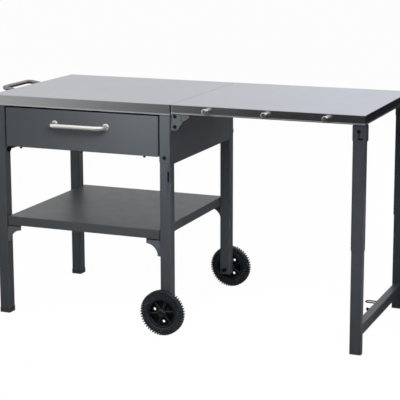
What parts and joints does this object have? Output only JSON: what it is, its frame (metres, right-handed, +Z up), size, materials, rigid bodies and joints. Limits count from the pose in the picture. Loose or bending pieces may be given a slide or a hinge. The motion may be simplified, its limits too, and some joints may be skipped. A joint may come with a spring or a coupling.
{
  "type": "grill cart",
  "caption": "Grill cart with stainless worktop, drawer, shelf and wheels, and a long drop leaf on a folding, telescoping leg frame.",
  "frame": {"origin": "on the floor, under the middle of the whole cart with its leaf up", "axes": "+X along the worktops from the push handle to the leaf, +Y from the drawer front to the back, +Z up"},
  "size_m": [1.6274, 0.786, 0.9015],
  "materials": {
    "stainless_worktop": "fine brushed stainless sheet",
    "galvanised_brace": "galvanised sheet",
    "zinc_drawer": "zinc-plated sheet",
    "tyre_rubber": "black ribbed rubber",
    "wheel_plastic": "black moulded plastic",
    "foot_plastic": "black moulded plastic",
    "satin_handle": "satin stainless tube",
    "polished_hook": "polished steel",
    "black_hardware": "black oxide",
    "drawer_paint": "satin charcoal powder coat",
    "charcoal_paint": "satin charcoal powder coat"
  },
  "bodies": {
    "cart": {"main_top": "stainless_worktop", "main_top_braces": "galvanised_brace", "front_left_leg": "charcoal_paint", "rear_left_leg": "charcoal_paint", "front_right_leg": "charcoal_paint", "rear_right_leg": "charcoal_paint", "foot_caps": "foot_plastic", "lower_shelf": "charcoal_paint", "shelf_brace": "charcoal_paint", "front_left_gusset": "charcoal_paint", "rear_left_gusset": "charcoal_paint", "front_right_gusset": "charcoal_paint", "rear_right_gusset": "charcoal_paint", "gusset_bolts": "black_hardware", "left_side_panel": "charcoal_paint", "right_side_panel": "charcoal_paint", "back_panel": "charcoal_paint", "left_cabinet_runner": "zinc_drawer", "right_cabinet_runner": "zinc_drawer", "push_handle": "satin_handle", "push_handle_rosettes": "satin_handle", "front_hinge_bracket": "charcoal_paint", "rear_hinge_bracket": "charcoal_paint", "hinge_pins": "black_hardware", "front_axle_bolt": "black_hardware", "rear_axle_bolt": "black_hardware", "axle_spacers": "black_hardware", "frame_bolts": "black_hardware"},
    "drawer": {"drawer_front": "drawer_paint", "drawer_box": "zinc_drawer", "drawer_handle": "satin_handle", "drawer_handle_rosettes": "satin_handle", "left_drawer_runner": "zinc_drawer", "right_drawer_runner": "zinc_drawer", "drawer_front_screws": "black_hardware"},
    "front_wheel": {"front_wheel_rim": "wheel_plastic", "front_wheel_tyre": "tyre_rubber", "front_wheel_cap": "wheel_plastic"},
    "rear_wheel": {"rear_wheel_rim": "wheel_plastic", "rear_wheel_tyre": "tyre_rubber", "rear_wheel_cap": "wheel_plastic"},
    "leaf": {"leaf_top": "stainless_worktop", "leaf_braces": "galvanised_brace", "front_hinge_arm": "charcoal_paint", "rear_hinge_arm": "charcoal_paint", "hinge_arm_bolts": "black_hardware", "left_tool_hook": "polished_hook", "middle_tool_hook": "polished_hook", "right_tool_hook": "polished_hook", "front_leg_bracket": "charcoal_paint", "rear_leg_bracket": "charcoal_paint", "leg_pivot_pins": "black_hardware"},
    "leaf_legs": {"front_leg_sleeve": "charcoal_paint", "rear_leg_sleeve": "charcoal_paint", "sleeve_bolts": "black_hardware"},
    "leg_extension": {"front_leg_tube": "charcoal_paint", "rear_leg_tube": "charcoal_paint", "leg_crossbar": "charcoal_paint", "leg_tube_feet": "foot_plastic", "crossbar_latch": "black_hardware"}
  },
  "joints": [
    {"name": "drawer_slide", "type": "slide", "parent": "cart", "child": "drawer", "axis": [0, -1, 0], "range_m": [0, 0.38]},
    {"name": "front_wheel_spin", "type": "hinge", "parent": "cart", "child": "front_wheel", "pos_m": [0.02845, -0.3715, 0.089], "axis": [0, 1, 0], "continuous": true},
    {"name": "rear_wheel_spin", "type": "hinge", "parent": "cart", "child": "rear_wheel", "pos_m": [0.02845, 0.3715, 0.089], "axis": [0, 1, 0], "continuous": true},
    {"name": "leaf_fold", "type": "hinge", "parent": "cart", "child": "leaf", "pos_m": [0.07045, 0, 0.814], "axis": [0, 1, 0], "range_deg": [0, 68]},
    {"name": "leg_fold", "type": "hinge", "parent": "leaf", "child": "leaf_legs", "pos_m": [0.78645, 0, 0.838], "axis": [0, 1, 0], "range_deg": [0, 90]},
    {"name": "leg_extend", "type": "slide", "parent": "leaf_legs", "child": "leg_extension", "axis": [0, 0, 1], "range_m": [0, 0.23001]}
  ],
  "couplings": [
    {"joint": "leg_extend", "follows": "leg_fold", "m_per_rad": 0.14642}
  ]
}
